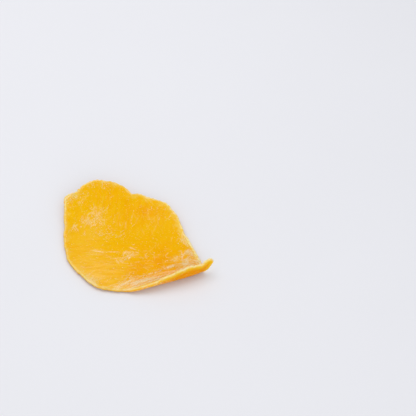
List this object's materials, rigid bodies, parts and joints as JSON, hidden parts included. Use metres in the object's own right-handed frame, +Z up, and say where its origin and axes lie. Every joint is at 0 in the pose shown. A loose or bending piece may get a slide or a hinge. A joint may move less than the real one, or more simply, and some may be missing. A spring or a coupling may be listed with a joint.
{
  "type": "dried mango slice",
  "caption": "Thick slice of dried mango lying flat, cut face up, with an uneven lobed rim, a small notch at the back and the long corner curled up into a lip.",
  "frame": {"origin": "on the surface that the slice lies on, under the middle of its box", "axes": "+Z up through the cut face; the curled corner points to +X and -Y; the notch and the large lobe are at +Y"},
  "size_m": [0.0883, 0.0784, 0.01],
  "materials": {
    "dried_flesh": "golden yellow leathery dried fruit flesh, slightly translucent, satin, with pale sugar frost and a paler rim"
  },
  "bodies": {
    "root": {"mango_slice": "dried_flesh"}
  },
  "joints": []
}
